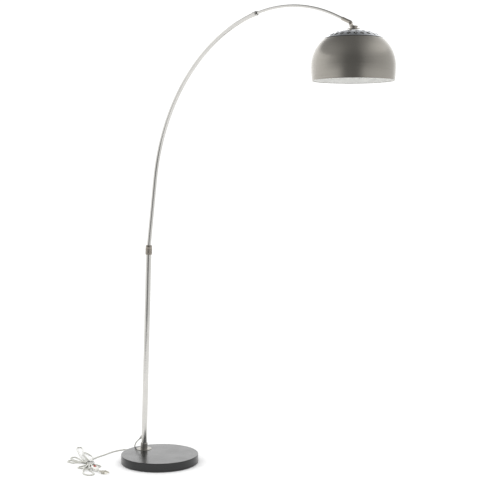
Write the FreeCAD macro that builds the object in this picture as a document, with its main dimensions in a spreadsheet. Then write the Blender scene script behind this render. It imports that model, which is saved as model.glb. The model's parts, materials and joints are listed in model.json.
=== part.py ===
import FreeCAD, Part
import math
import os
import re

import Sketcher

# Arc floor lamp. Millimetres, +Z up, the arm reaches towards +X.
# The origin is the centre of the stone base, on the plane it stands on.

DIMENSIONS = (
    # stone base and what holds the pole on it
    ("base_radius", 152.5), ("base_top", 34.5), ("felt_thickness", 2.0), ("felt_radius", 146.0),
    ("base_edge_round", 2.0), ("foot_offset", 100.1), ("bolt_pocket_radius", 24.0),
    ("bolt_pocket_depth", 14.0),
    ("bolt_hole_radius", 7.0), ("stud_radius", 5.0), ("stud_bottom", 4.5), ("stud_top", 54.0),
    ("washer_radius", 17.0), ("washer_thickness", 2.5), ("foot_nut_flats", 17.0), ("foot_nut_height", 8.0),
    ("flange_radius", 30.5), ("flange_thickness", 1.6), ("flange_bevel", 0.8),
    ("foot_collar_radius", 14.0), ("foot_collar_height", 26.5), ("foot_collar_bevel", 1.5),
    # straight pole, leaning towards the arm
    ("pole_lean", 2.74), ("pole_radius", 11.0), ("pole_wall", 1.2), ("pole_start", 3.6), ("pole_end", 800.0),
    ("plug_height", 22.0), ("cord_exit_height", 50.0), ("cord_exit_drop", 36.87),
    # clamp at the pole's top
    ("socket_depth", 30.0), ("socket_bore", 8.1), ("socket_shoulder", 3.0), ("thread_radius", 10.4),
    ("thread_length", 12.0), ("collet_height", 4.5), ("collet_bore", 8.06), ("collet_top_radius", 9.2),
    ("ring_radius", 12.9), ("ring_bottom", 787.0), ("ring_top", 824.0), ("ring_mouth", 8.7),
    ("running_fit", 0.08), ("guide_length", 16.0),
    # curved arm
    ("arm_radius", 8.0), ("arm_wall", 1.0), ("spigot_length", 170.0), ("arm_seat", 818.0),
    ("bend_radius", 150.0), ("bend_turn", 6.23), ("tail_length", 251.0), ("arc_radius", 711.0),
    ("arc_heading", 78.5), ("tip_radius", 5.0), ("tip_wall", 0.8), ("tip_arc_radius", 620.7),
    ("tip_heading", 114.0), ("tip_straight", 44.0), ("ferrule_radius", 9.3), ("ferrule_half", 10.0),
    ("seal_length", 2.5), ("seal_radius", 6.6), ("cable_radius", 2.5),
    # tilt joint
    ("fork_radius", 6.25), ("fork_length", 38.0), ("fork_to_tube", 23.0), ("slot_width", 3.4),
    ("slot_depth", 8.0),
    ("pin_radius", 2.0), ("pin_half", 9.0), ("pin_head_radius", 3.6), ("pin_head_height", 1.8),
    ("eye_radius", 5.0), ("eye_thickness", 3.0), ("eye_bore", 2.06), ("stem_radius", 5.5),
    ("stem_height", 2.0),
    ("stem_offset", 9.0),
    # shade, measured from its rim
    ("shade_axis", 992.5), ("rim_height", 1445.4), ("rim_radius", 133.0), ("girth_radius", 136.0),
    ("girth_height", 45.5), ("wall_bulge", 369.0), ("dome_radius", 114.5), ("shade_wall", 0.9),
    ("lining_wall", 0.4), ("dome_top_angle", 54.6), ("cap_angle", 51.5), ("cap_wall", 1.0),
    ("vent_outer_ring", 82.0), ("vent_outer_count", 24), ("vent_outer_radius", 6.5),
    ("vent_inner_ring", 65.0), ("vent_inner_count", 18), ("vent_inner_radius", 5.2),
    ("lower_disc_radius", 22.0), ("lower_disc_height", 4.6), ("spacer_radius", 12.0), ("spacer_height", 5.0),
    ("upper_disc_radius", 14.0), ("upper_disc_height", 4.2), ("nipple_radius", 5.0), ("nipple_bore", 3.4),
    ("nipple_bottom", 140.0), ("nipple_nut_flats", 16.0), ("nipple_nut_height", 6.0),
    ("holder_radius", 18.0), ("holder_bottom", 100.0), ("holder_top", 150.0), ("holder_bore", 13.6),
    ("holder_bore_top", 132.0), ("ring_flange_radius", 22.0), ("ring_flange_height", 4.0),
    ("bulb_cap_radius", 13.0), ("bulb_cap_top", 130.0), ("bulb_cap_bottom", 103.0), ("bulb_radius", 30.0),
    ("bulb_centre", 42.0), ("bulb_wall", 1.0),
    # cord, in-line switch and plug
    ("cord_radius", 2.5), ("gland_length", 24.0), ("gland_radius", 4.4), ("gland_flange_radius", 6.4),
    ("gland_flange_height", 2.0), ("gland_seat", 5.4), ("hank_height", 10.6), ("tie_height", 13.4),
    ("tie_width", 32.0),
    ("tie_length", 6.0), ("tie_wall", 1.2), ("switch_length", 44.0), ("switch_width", 22.0),
    ("switch_height", 15.0), ("switch_wall", 1.6), ("window_length", 18.0), ("window_width", 9.4),
    ("rocker_length", 15.0), ("rocker_width", 8.6), ("rocker_height", 7.0), ("rocker_pivot", 10.0),
    ("rocker_tilt", 7.0), ("rocker_pin_radius", 1.0), ("relief_length", 6.0), ("relief_radius", 3.9),
    ("plug_length", 24.0), ("plug_width", 22.0), ("plug_thickness", 13.0), ("plug_neck", 8.0),
    ("blade_length", 16.0), ("blade_width", 6.3), ("blade_thickness", 1.5), ("blade_spacing", 12.7),
    # where the loose things lie on the floor
    ("floor_gap", 0.1), ("switch_x", -82.0), ("switch_y", -254.8), ("switch_turn", -16.8),
    ("switch_run", 18.0),
    ("plug_run", 9.3), ("plug_turn", 14.0), ("gland_straight", 23.0), ("tie_x", -157.0), ("tie_y", -223.0),
    ("tie_turn", 150.0),
)
ALIASES = {name for name, _ in DIMENSIONS}

doc = FreeCAD.newDocument("arc_floor_lamp")
sheet = doc.addObject("Spreadsheet::Sheet", "Sizes")
for row, (alias, number) in enumerate(DIMENSIONS, 1):
    sheet.set("A%d" % row, alias)
    sheet.set("B%d" % row, str(number))
    sheet.setAlias("B%d" % row, alias)
doc.recompute()

parts = []


def bind(expression):
    """Turn plain sheet names in an expression into references to the sheet."""
    return re.sub(r"[a-z_]+", lambda word: "Sizes." + word[0] if word[0] in ALIASES else word[0],
                  str(expression))


def size(expression):
    """The number that an expression of sheet names comes to."""
    return float(sheet.evalExpression(bind(expression)))


def placement(x=0.0, y=0.0, z=0.0, axis=(0, 1, 0), angle=0.0):
    return FreeCAD.Placement(FreeCAD.Vector(x, y, z), FreeCAD.Rotation(FreeCAD.Vector(*axis), angle))


# ------------------------------------------------------------------ frames
foot_frame = placement(-size("foot_offset"), 0, size("base_top"), angle=size("pole_lean"))
arm_frame = foot_frame * placement(z=size("arm_seat"))
base_frame = placement()
stud_frame = placement(-size("foot_offset"), 0, 0)
head_frame = placement(size("shade_axis"), 0, size("rim_height"))


def turned(x, z, start, stop, radius):
    """Where a path in the XZ plane is after an arc between two headings from +Z."""
    a, b = math.radians(start), math.radians(stop)
    return x + radius * (math.cos(a) - math.cos(b)), z + radius * (math.sin(b) - math.sin(a))


def onward(x, z, heading, length):
    a = math.radians(heading)
    return x + length * math.sin(a), z + length * math.cos(a)


def heading_frame(x, z, heading):
    """A frame whose +Z runs along a heading in the XZ plane."""
    return placement(x, 0, z, angle=heading)


seat = arm_frame.Base
tail_heading = size("pole_lean + bend_turn")
bend_end = turned(seat.x, seat.z, size("pole_lean"), tail_heading, size("bend_radius"))
tail_end = onward(bend_end[0], bend_end[1], tail_heading, size("tail_length"))
arc_end = turned(tail_end[0], tail_end[1], tail_heading, size("arc_heading"), size("arc_radius"))
tip_bend_end = turned(arc_end[0], arc_end[1], size("arc_heading"), size("tip_heading"),
                      size("tip_arc_radius"))
tip_end = onward(tip_bend_end[0], tip_bend_end[1], size("tip_heading"), size("tip_straight"))
pivot = onward(tip_end[0], tip_end[1], size("tip_heading"), size("fork_to_tube"))
ferrule_frame = heading_frame(arc_end[0], arc_end[1], size("arc_heading"))
pivot_frame = heading_frame(pivot[0], pivot[1], size("tip_heading") - 180)


# ------------------------------------------------------------------ modelling helpers
def body_named(name, place=base_frame):
    body = doc.addObject("PartDesign::Body", name)
    body.Label = name
    body.Placement = place
    parts.append(body)
    return body


def sketch_on(body, role="XZ_Plane", lift="0"):
    sketch = body.newObject("Sketcher::SketchObject", body.Label + "_sketch")
    plane = next(item for item in body.Origin.OriginFeatures if item.Role == role)
    sketch.AttachmentSupport = [(plane, "")]
    sketch.MapMode = "FlatFace"
    sketch.setExpression("AttachmentOffset.Base.z", bind(lift))
    return sketch


def hold(sketch, geometry, point, axis, expression):
    """Tie one coordinate of a sketch point to an expression, or to the axis where it is nought."""
    value = size(expression)
    if abs(value) < 1e-9:
        sketch.addConstraint(Sketcher.Constraint("PointOnObject", geometry, point, -2 if axis == "X" else -1))
        return
    number = sketch.addConstraint(Sketcher.Constraint("Distance" + axis, geometry, point, value))
    sketch.setExpression("Constraints[%d]" % number, bind(expression))


def arc_between(start, stop, radius):
    """An anticlockwise arc. A positive radius bulges to the right of the way from start to stop."""
    if radius < 0:
        start, stop = stop, start
    chord = stop - start
    sagitta = abs(radius) - math.sqrt(max(radius * radius - chord.Length ** 2 / 4, 0.0))
    crown = (start + stop) * 0.5 + FreeCAD.Vector(chord.y, -chord.x, 0).normalize() * sagitta
    return Part.ArcOfCircle(start, crown, stop)


def outline(sketch, corners, rounds=None):
    """A closed outline. Each corner is a pair of expressions; rounds gives an edge's radius expression."""
    rounds = rounds or {}
    points = [FreeCAD.Vector(size(x), size(y), 0) for x, y in corners]
    count = len(points)
    edges = []
    for index, start in enumerate(points):
        stop = points[(index + 1) % count]
        if index in rounds:
            radius = size(rounds[index])
            number = sketch.addGeometry(arc_between(start, stop, radius), False)
            edges.append((number, 1, 2) if radius > 0 else (number, 2, 1))
        else:
            edges.append((sketch.addGeometry(Part.LineSegment(start, stop), False), 1, 2))
    for index, (number, first, last) in enumerate(edges):
        following = edges[(index + 1) % count]
        sketch.addConstraint(Sketcher.Constraint("Coincident", number, last, following[0], following[1]))
        hold(sketch, number, first, "X", corners[index][0])
        hold(sketch, number, first, "Y", corners[index][1])
        if index in rounds:
            held = sketch.addConstraint(Sketcher.Constraint("Radius", number, abs(size(rounds[index]))))
            sketch.setExpression("Constraints[%d]" % held, "abs(%s)" % bind(rounds[index]))
    return sketch


def ring(sketch, *radii, x="0", y="0"):
    """Circles about one centre."""
    for radius in radii:
        centre = FreeCAD.Vector(size(x), size(y), 0)
        circle = sketch.addGeometry(Part.Circle(centre, FreeCAD.Vector(0, 0, 1), size(radius)), False)
        hold(sketch, circle, 3, "X", x)
        hold(sketch, circle, 3, "Y", y)
        number = sketch.addConstraint(Sketcher.Constraint("Radius", circle, size(radius)))
        sketch.setExpression("Constraints[%d]" % number, bind(radius))
    return sketch


def rectangle(sketch, length, width, x="0"):
    half_length, half_width = "(%s) / 2" % length, "(%s) / 2" % width
    low, high = "%s - %s" % (x, half_length), "%s + %s" % (x, half_length)
    corners = [(low, "0 - " + half_width), (high, "0 - " + half_width), (high, half_width), (low, half_width)]
    return outline(sketch, corners)


def feature(body, kind, sketch, **settings):
    item = body.newObject("PartDesign::" + kind, body.Label + "_" + kind.lower())
    item.Profile = sketch
    for name, value in settings.items():
        if name in ("Length", "Angle"):
            item.setExpression(name, bind(value))
        else:
            setattr(item, name, value)
    sketch.Visibility = False
    return item


def turned_body(name, place, corners, rounds=None):
    """A body of revolution about its own Z: corners are pairs of radius and height."""
    body = body_named(name, place)
    sketch = outline(sketch_on(body), corners, rounds)
    turn = body.newObject("PartDesign::Revolution", name + "_turn")
    turn.Profile = sketch
    turn.ReferenceAxis = (sketch, ["V_Axis"])
    turn.Angle = 360
    return body


def tube_corners(inner, outer, bottom, top):
    return [(inner, bottom), (outer, bottom), (outer, top), (inner, top)]


def padded_body(name, place, draw, length, lift="0"):
    body = body_named(name, place)
    sketch = sketch_on(body, "XY_Plane", lift)
    draw(sketch)
    feature(body, "Pad", sketch, Length=length)
    return body


def cut_into(body, draw, length, lift, upward, role="XY_Plane"):
    """Pocket a body and make sure that the pocket takes something away."""
    doc.recompute()
    before = body.Shape.Volume
    sketch = sketch_on(body, role, lift)
    draw(sketch)
    pocket = feature(body, "Pocket", sketch, Length=length, Reversed=upward)
    doc.recompute()
    if body.Shape.Volume > before - 0.5:
        raise RuntimeError("a pocket in %s cuts nothing" % body.Label)
    return pocket


def around(body, item, count):
    """Repeat a feature about the body's own Z axis."""
    pattern = body.newObject("PartDesign::PolarPattern", item.Label + "_ring")
    pattern.Originals = [item]
    axis = next(line for line in body.Origin.OriginFeatures if line.Role == "Z_Axis")
    pattern.Axis = (axis, [""])
    pattern.Angle = 360
    pattern.Occurrences = int(size(count))
    body.Tip = pattern
    before = item.Shape.Volume
    doc.recompute()
    if pattern.Shape.Volume > before - 0.5:
        raise RuntimeError("a pattern in %s cuts nothing" % body.Label)


def hexagon(sketch, flats):
    radius = "%s / (2 * cos(30))" % flats
    corners = [("%s * cos(%d)" % (radius, turn), "%s * sin(%d)" % (radius, turn))
               for turn in range(0, 360, 60)]
    return outline(sketch, corners)


def cylinder(name, radius, height, place):
    item = doc.addObject("Part::Cylinder", name)
    item.setExpression("Radius", bind(radius))
    item.setExpression("Height", bind(height))
    item.Placement = place
    return item


def combine(kind, name, base, tool):
    item = doc.addObject("Part::" + kind, name)
    item.Base = base
    item.Tool = tool
    return item


def keep(item, name):
    item.Label = name
    parts.append(item)
    return item


def solid(name, shape, place=base_frame):
    """A sub-part whose shape comes straight from Part's functions."""
    item = doc.addObject("Part::Feature", name)
    item.Label = name
    item.Shape = shape
    item.Placement = place
    parts.append(item)
    return item


# ------------------------------------------------------------------ base
def make_base():
    corners = [
        ("0", "felt_thickness"), ("base_radius - 1", "felt_thickness"), ("base_radius", "felt_thickness + 1"),
        ("base_radius", "base_top - base_edge_round"), ("base_radius - base_edge_round", "base_top"),
        ("0", "base_top"),
    ]
    stone = turned_body("marble_base", base_frame, corners, {3: "base_edge_round"})
    hole_x = "0 - foot_offset"
    cut_into(stone, lambda s: ring(s, "bolt_pocket_radius", x=hole_x), "bolt_pocket_depth", "felt_thickness",
             True)
    cut_into(stone, lambda s: ring(s, "bolt_hole_radius", x=hole_x), "base_top", "0", True)

    def felt(sketch):
        ring(sketch, "felt_radius")
        ring(sketch, "bolt_pocket_radius + 1", x=hole_x)
    padded_body("felt_pad", base_frame, felt, "felt_thickness")


def make_foot():
    corners = [
        ("stud_radius", "base_top"), ("flange_radius", "base_top"),
        ("flange_radius", "base_top + flange_thickness - flange_bevel"),
        ("flange_radius - flange_bevel", "base_top + flange_thickness"),
        ("stud_radius", "base_top + flange_thickness"),
    ]
    turned_body("foot_flange", stud_frame, corners, {2: "flange_bevel"})
    padded_body("foot_stud", stud_frame, lambda s: ring(s, "stud_radius"), "stud_top - stud_bottom",
                "stud_bottom")
    pocket_top = "felt_thickness + bolt_pocket_depth"
    padded_body("foot_washer", stud_frame, lambda s: ring(s, "washer_radius", "stud_radius + 0.4"),
                "washer_thickness", pocket_top + " - washer_thickness")

    def nut(sketch):
        hexagon(sketch, "foot_nut_flats")
        ring(sketch, "stud_radius")
    padded_body("foot_nut", stud_frame, nut, "foot_nut_height",
                pocket_top + " - washer_thickness - foot_nut_height")

    # The collar leans with the pole and is cut flat where it sits on the level flange.
    collar = turned_body("foot_collar_blank", foot_frame, [
        ("pole_radius", "0"), ("foot_collar_radius", "0"),
        ("foot_collar_radius", "foot_collar_height - foot_collar_bevel"),
        ("foot_collar_radius - foot_collar_bevel", "foot_collar_height"),
        ("pole_radius", "foot_collar_height")])
    parts.remove(collar)
    below = doc.addObject("Part::Box", "below_flange")
    below.setExpression("Length", bind("2 * flange_radius"))
    below.setExpression("Width", bind("2 * flange_radius"))
    below.setExpression("Height", bind("base_top"))
    below.Placement = placement(-size("foot_offset + flange_radius"), -size("flange_radius"),
                                size("flange_thickness"))
    keep(combine("Cut", "foot_collar_cut", collar, below), "foot_collar")

    plug = cylinder("plug_blank", "pole_radius - pole_wall", "plug_height",
                    foot_frame * placement(z=size("pole_start")))
    stud_hole = cylinder("plug_hole", "stud_radius", "stud_top", stud_frame)
    keep(combine("Cut", "foot_plug_cut", plug, stud_hole), "foot_plug")


# ------------------------------------------------------------------ pole and clamp
exit_point = foot_frame.multVec(FreeCAD.Vector(-size("pole_radius"), 0, size("cord_exit_height")))
gland_frame = placement(exit_point.x, 0, exit_point.z, angle=-90 - size("cord_exit_drop"))


def make_pole():
    start = foot_frame * placement(z=size("pole_start"))
    outside = cylinder("pole_outside", "pole_radius", "pole_end - pole_start", start)
    inside = cylinder("pole_inside", "pole_radius - pole_wall", "pole_end - pole_start", start)
    tube = combine("Cut", "pole_tube", outside, inside)
    hole = cylinder("cord_hole", "gland_radius", "2 * gland_radius",
                    gland_frame * placement(z=-size("gland_radius")))
    keep(combine("Cut", "lower_pole_cut", tube, hole), "lower_pole")
    turned_body("cord_gland", gland_frame, [
        ("0", "0 - 3"), ("gland_radius", "0 - 3"), ("gland_radius", "gland_seat"),
        ("gland_flange_radius", "gland_seat"), ("gland_flange_radius", "gland_seat + gland_flange_height"),
        ("gland_radius", "gland_seat + gland_flange_height"), ("cord_radius + 0.4", "gland_length"),
        ("0", "gland_length")])


def make_clamp():
    shoulder = "pole_end + socket_shoulder"
    thread_top = "pole_end + socket_shoulder + thread_length"
    turned_body("clamp_socket", foot_frame, [
        ("socket_bore", "pole_end - socket_depth"), ("pole_radius - pole_wall", "pole_end - socket_depth"),
        ("pole_radius - pole_wall", "pole_end"), ("pole_radius", "pole_end"), ("pole_radius", shoulder),
        ("thread_radius", shoulder), ("thread_radius", thread_top), ("socket_bore", thread_top)])
    turned_body("split_collet", foot_frame, [
        ("collet_bore", thread_top), ("thread_radius", thread_top),
        ("collet_top_radius", thread_top + " + collet_height"),
        ("collet_bore", thread_top + " + collet_height")])
    turned_body("lock_ring", foot_frame, [
        ("pole_radius + running_fit", "ring_bottom"), ("ring_radius - 0.8", "ring_bottom"),
        ("ring_radius", "ring_bottom + 0.8"), ("ring_radius", "ring_top - 11"),
        ("ring_radius - 0.9", "ring_top"),
        ("ring_mouth + 2.2", "ring_top"), ("ring_mouth", "ring_top - 3"),
        ("collet_top_radius + running_fit", thread_top + " + collet_height + running_fit"),
        ("thread_radius + running_fit", thread_top),
        ("thread_radius + running_fit", shoulder + " + running_fit"),
        ("pole_radius + running_fit", shoulder + " + running_fit")])


# ------------------------------------------------------------------ arm
def arm_spine(sketch, pieces):
    """Draw a chain of straights (length,) and arcs (radius, turn) from a start point and heading."""
    x, z, heading = pieces[0]
    previous = None
    for piece in pieces[1:]:
        start = FreeCAD.Vector(x, z, 0)
        if len(piece) == 1:
            x, z = onward(x, z, heading, piece[0])
            number = sketch.addGeometry(Part.LineSegment(start, FreeCAD.Vector(x, z, 0)), False)
            ends = (1, 2)
            sketch.addConstraint(Sketcher.Constraint("Distance", number, piece[0]))
        else:
            radius, turn = piece
            x, z = turned(x, z, heading, heading + turn, radius)
            number = sketch.addGeometry(arc_between(start, FreeCAD.Vector(x, z, 0), -radius), False)
            ends = (2, 1)
            sketch.addConstraint(Sketcher.Constraint("Radius", number, radius))
            heading += turn
        if previous:
            sketch.addConstraint(Sketcher.Constraint("Tangent", previous[0], previous[1], number, ends[0]))
        else:
            sketch.addConstraint(Sketcher.Constraint("DistanceX", number, ends[0], start.x))
            sketch.addConstraint(Sketcher.Constraint("DistanceY", number, ends[0], start.y))
        previous = (number, ends[1])


def piped_body(name, place, pieces, *radii):
    """A tube or rod swept along straights and tangent arcs in the body's own XZ plane."""
    body = body_named(name, place)
    spine = sketch_on(body)
    arm_spine(spine, pieces)
    section = sketch_on(body, "XY_Plane", str(pieces[0][1]))
    ring(section, *radii)
    doc.recompute()
    pipe = body.newObject("PartDesign::AdditivePipe", name + "_pipe")
    pipe.Profile = section
    pipe.Spine = (spine, ["Edge%d" % (index + 1) for index in range(len(pieces) - 1)])
    return body


def make_arm():
    arc_turn = size("arc_heading") - tail_heading
    run = [(0, -size("spigot_length"), 0), (size("spigot_length"),), (size("bend_radius"), size("bend_turn")),
           (size("tail_length"),), (size("arc_radius"), arc_turn)]
    piped_body("arc_tube", arm_frame, run, "arm_radius", "arm_radius - arm_wall")
    cable = [(0, -size("spigot_length") - 20, 0), (size("spigot_length") + 20,)] + run[2:]
    piped_body("arm_cable", arm_frame, cable, "cable_radius")
    tip_turn = size("tip_heading - arc_heading")
    tip_run = [(0, 0, 0), (size("tip_arc_radius"), tip_turn), (size("tip_straight"),)]
    piped_body("tip_tube", ferrule_frame, tip_run, "tip_radius", "tip_radius - tip_wall")
    piped_body("tip_cable", ferrule_frame, tip_run, "cable_radius")
    turned_body("ferrule", ferrule_frame, [
        ("arm_radius", "0 - ferrule_half"), ("ferrule_radius", "0 - ferrule_half"),
        ("ferrule_radius", "ferrule_half - 5"), ("seal_radius", "ferrule_half"),
        ("tip_radius", "ferrule_half"),
        ("tip_radius", "0"), ("arm_radius", "0")])
    turned_body("ferrule_seal", ferrule_frame, tube_corners(
        "tip_radius + 0.2", "seal_radius - 0.3", "ferrule_half", "ferrule_half + seal_length"))
    turned_body("guide_bush", foot_frame, tube_corners(
        "arm_radius + running_fit / 2", "pole_radius - pole_wall - running_fit",
        "arm_seat - spigot_length", "arm_seat - spigot_length + guide_length"))


def make_pole_cable():
    start = size("cord_exit_height + 8")
    length = size("arm_seat - spigot_length - 24") - start
    padded_body("pole_cable", foot_frame, lambda s: ring(s, "cable_radius"), str(length), str(start))


# ------------------------------------------------------------------ tilt joint
pin_frame = placement(pivot[0], 0, pivot[1], axis=(1, 0, 0), angle=90)


def make_tilt_joint():
    fork = turned_body("tilt_fork", pivot_frame, [
        ("0", "0 - fork_radius"), ("fork_radius", "0"), ("fork_radius", "fork_length - 2"),
        ("fork_radius - 1", "fork_length"), ("tip_radius", "fork_length"), ("tip_radius", "fork_to_tube"),
        ("0", "fork_to_tube")], {0: "fork_radius"})

    def slot(sketch):
        outline(sketch, [("0 - 2 * fork_radius", "0 - 2 * fork_radius"),
                         ("2 * fork_radius", "0 - 2 * fork_radius"),
                         ("2 * fork_radius", "slot_depth"), ("0 - 2 * fork_radius", "slot_depth")])
    cut_into(fork, slot, "slot_width", "0 - slot_width / 2", True, "XZ_Plane")
    cut_into(fork, lambda s: ring(s, "pin_radius"), "4 * fork_radius", "0 - 2 * fork_radius", True,
             "XZ_Plane")

    turned_body("tilt_pin", pin_frame, [
        ("0", "0 - pin_half"), ("pin_radius", "0 - pin_half"), ("pin_radius", "fork_radius"),
        ("pin_head_radius", "fork_radius"), ("pin_head_radius", "fork_radius + pin_head_height - 0.5"),
        ("pin_head_radius - 0.8", "fork_radius + pin_head_height"), ("0", "fork_radius + pin_head_height")])
    turned_body("tilt_nut", pin_frame, [
        ("pin_radius", "0 - pin_half + 0.6"), ("pin_head_radius - 0.6", "0 - pin_half + 0.6"),
        ("pin_head_radius", "0 - pin_half + 1.2"), ("pin_head_radius", "0 - fork_radius"),
        ("pin_radius", "0 - fork_radius")])

    # Eye plate in the fork, and the round foot that stands on the upper disc.
    discs = size("lower_disc_height + spacer_height + upper_disc_height")
    foot_bottom = size("girth_height + dome_radius + cap_wall") + discs
    foot_top = foot_bottom + size("stem_height")
    eye_x, eye_z = pivot[0] - size("shade_axis"), pivot[1] - size("rim_height")
    foot_x = eye_x + size("stem_offset")
    half, radius = size("eye_thickness / 2"), size("eye_radius")
    face = [(eye_x - radius, eye_z), (eye_x - radius * 0.6, foot_top), (foot_x + 5, foot_top),
            (eye_x + radius, eye_z)]
    points = [FreeCAD.Vector(x, -half, z) for x, z in face]
    crown = FreeCAD.Vector(eye_x, -half, eye_z + radius)
    edges = [Part.makeLine(points[index], points[index + 1]) for index in range(3)]
    edges.append(Part.Arc(points[3], crown, points[0]).toShape())
    plate = Part.Face(Part.Wire(edges)).extrude(FreeCAD.Vector(0, 2 * half, 0))
    along_y = FreeCAD.Vector(0, 1, 0)
    bore = Part.makeCylinder(size("eye_bore"), 4 * half, FreeCAD.Vector(eye_x, -2 * half, eye_z), along_y)
    foot = Part.makeCylinder(size("stem_radius"), foot_top - foot_bottom,
                             FreeCAD.Vector(foot_x, 0, foot_bottom))
    solid("tilt_stem", plate.cut(bore).fuse(foot).removeSplitter(), head_frame)


# ------------------------------------------------------------------ shade head
def on_dome(radius, angle):
    """A point on the dome's section, at an angle above the horizontal."""
    centre = "girth_radius - dome_radius"
    return ("%s + (%s) * cos(%s)" % (centre, radius, angle),
            "girth_height + (%s) * sin(%s)" % (radius, angle))


def dome_shell(name, outside, inside, angle):
    """A spun wall between two offsets inside the dome's outer surface."""
    out_radius, in_radius = "dome_radius - (%s)" % outside, "dome_radius - (%s)" % inside
    turned_body(name, head_frame, [
        ("rim_radius - (%s)" % outside, "0"), ("girth_radius - (%s)" % outside, "girth_height"),
        on_dome(out_radius, angle), on_dome(in_radius, angle),
        ("girth_radius - (%s)" % inside, "girth_height"), ("rim_radius - (%s)" % inside, "0"),
    ], {0: "wall_bulge", 1: out_radius, 3: "0 - (%s)" % in_radius, 4: "0 - wall_bulge"})


def make_shade():
    dome_shell("shade_dome", "0", "shade_wall", "dome_top_angle")
    dome_shell("shade_lining", "shade_wall", "shade_wall + lining_wall", "dome_top_angle")
    centre = "girth_radius - dome_radius"
    cap_radius = "dome_radius + cap_wall"
    cap = turned_body("vent_cap", head_frame, [
        ("nipple_radius", "girth_height + dome_radius"), (centre, "girth_height + dome_radius"),
        on_dome("dome_radius", "cap_angle"), on_dome(cap_radius, "cap_angle"),
        (centre, "girth_height + " + cap_radius), ("nipple_radius", "girth_height + " + cap_radius),
    ], {1: "0 - dome_radius", 3: cap_radius})
    for name in ("outer", "inner"):
        draw = "vent_%s_radius" % name
        place = "vent_%s_ring" % name
        hole = cut_into(cap, lambda s: ring(s, draw, x=place), "2 * dome_radius", "3 * dome_radius", False)
        around(cap, hole, "vent_%s_count" % name)

    level = "girth_height + dome_radius + cap_wall"
    for name, radius, height, edge in (("lower_disc", "lower_disc_radius", "lower_disc_height", "1.6"),
                                       ("disc_spacer", "spacer_radius", "spacer_height", "0.2"),
                                       ("upper_disc", "upper_disc_radius", "upper_disc_height", "1.4")):
        top = "%s + %s" % (level, height)
        turned_body(name, head_frame, [
            ("nipple_radius", level), (radius, level), (radius, "%s - %s" % (top, edge)),
            ("%s - %s" % (radius, edge), top), ("nipple_radius", top)], {2: edge})
        level = top
    turned_body("threaded_nipple", head_frame,
                tube_corners("nipple_bore", "nipple_radius", "nipple_bottom", level))

    def nut(sketch):
        hexagon(sketch, "nipple_nut_flats")
        ring(sketch, "nipple_radius")
    padded_body("nipple_nut", head_frame, nut, "nipple_nut_height",
                "girth_height + dome_radius - nipple_nut_height")


def make_lamp():
    turned_body("lamp_holder", head_frame, [
        ("holder_bore", "holder_bottom"), ("holder_radius", "holder_bottom"),
        ("holder_radius", "holder_top - 10"),
        ("holder_radius - 8", "holder_top"), ("nipple_radius", "holder_top"),
        ("nipple_radius", "nipple_bottom"),
        ("0", "nipple_bottom"), ("0", "holder_bore_top"), ("holder_bore", "holder_bore_top")])
    turned_body("holder_ring", head_frame, [
        ("holder_radius", "holder_bottom + 2"), ("ring_flange_radius", "holder_bottom + 2"),
        ("ring_flange_radius", "holder_bottom + 2 + ring_flange_height / 2"),
        ("holder_radius + 1.5", "holder_bottom + 6 + ring_flange_height"),
        ("holder_radius", "holder_bottom + 6 + ring_flange_height")])
    turned_body("bulb_cap", head_frame, [
        ("0", "bulb_cap_bottom + 4"), ("bulb_cap_radius - 1", "bulb_cap_bottom + 4"),
        ("bulb_cap_radius - 1", "bulb_cap_bottom"), ("bulb_cap_radius", "bulb_cap_bottom"),
        ("bulb_cap_radius", "bulb_cap_top - 6"), ("4.5", "bulb_cap_top"), ("0", "bulb_cap_top")])
    neck = "bulb_cap_radius - 1"
    turned_body("bulb_glass", head_frame, [
        ("0", "bulb_centre - bulb_radius"), ("bulb_radius", "bulb_centre"),
        ("bulb_radius * cos(35)", "bulb_centre + bulb_radius * sin(35)"), (neck, "bulb_cap_bottom - 8"),
        (neck, "bulb_cap_bottom + 4"), (neck + " - bulb_wall", "bulb_cap_bottom + 4"),
        (neck + " - bulb_wall", "bulb_cap_bottom - 8"),
        ("(bulb_radius - bulb_wall) * cos(35)", "bulb_centre + (bulb_radius - bulb_wall) * sin(35)"),
        ("bulb_radius - bulb_wall", "bulb_centre"), ("0", "bulb_centre - bulb_radius + bulb_wall"),
    ], {0: "bulb_radius", 1: "bulb_radius", 7: "0 - (bulb_radius - bulb_wall)",
        8: "0 - (bulb_radius - bulb_wall)"})


# ------------------------------------------------------------------ cord
gland_tip = gland_frame.multVec(FreeCAD.Vector(0, 0, size("gland_length")))
gland_run = gland_frame.multVec(FreeCAD.Vector(0, 0, size("gland_length + gland_straight")))
upright = (0, 0, 1)
switch_frame = placement(size("switch_x"), size("switch_y"), axis=upright, angle=size("switch_turn"))
switch_level = size("switch_height / 2 + floor_gap")
switch_end = size("switch_length / 2 + relief_length")
lead_in = switch_frame.multVec(FreeCAD.Vector(-switch_end, 0, switch_level))
lead_in_run = switch_frame.multVec(FreeCAD.Vector(-switch_end - size("switch_run"), 0, switch_level))
lead_out = switch_frame.multVec(FreeCAD.Vector(switch_end, 0, switch_level))
lead_out_run = switch_frame.multVec(FreeCAD.Vector(switch_end + size("plug_run"), 0, switch_level))
plug_level = size("plug_thickness / 2 + floor_gap")
plug_heading = placement(axis=upright, angle=size("plug_turn"))
plug_step = FreeCAD.Vector(size("plug_run"), 0, plug_level - switch_level)
plug_start = lead_out_run + plug_heading.multVec(plug_step)
plug_frame = placement(plug_start.x, plug_start.y, axis=upright, angle=size("plug_turn"))

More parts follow.
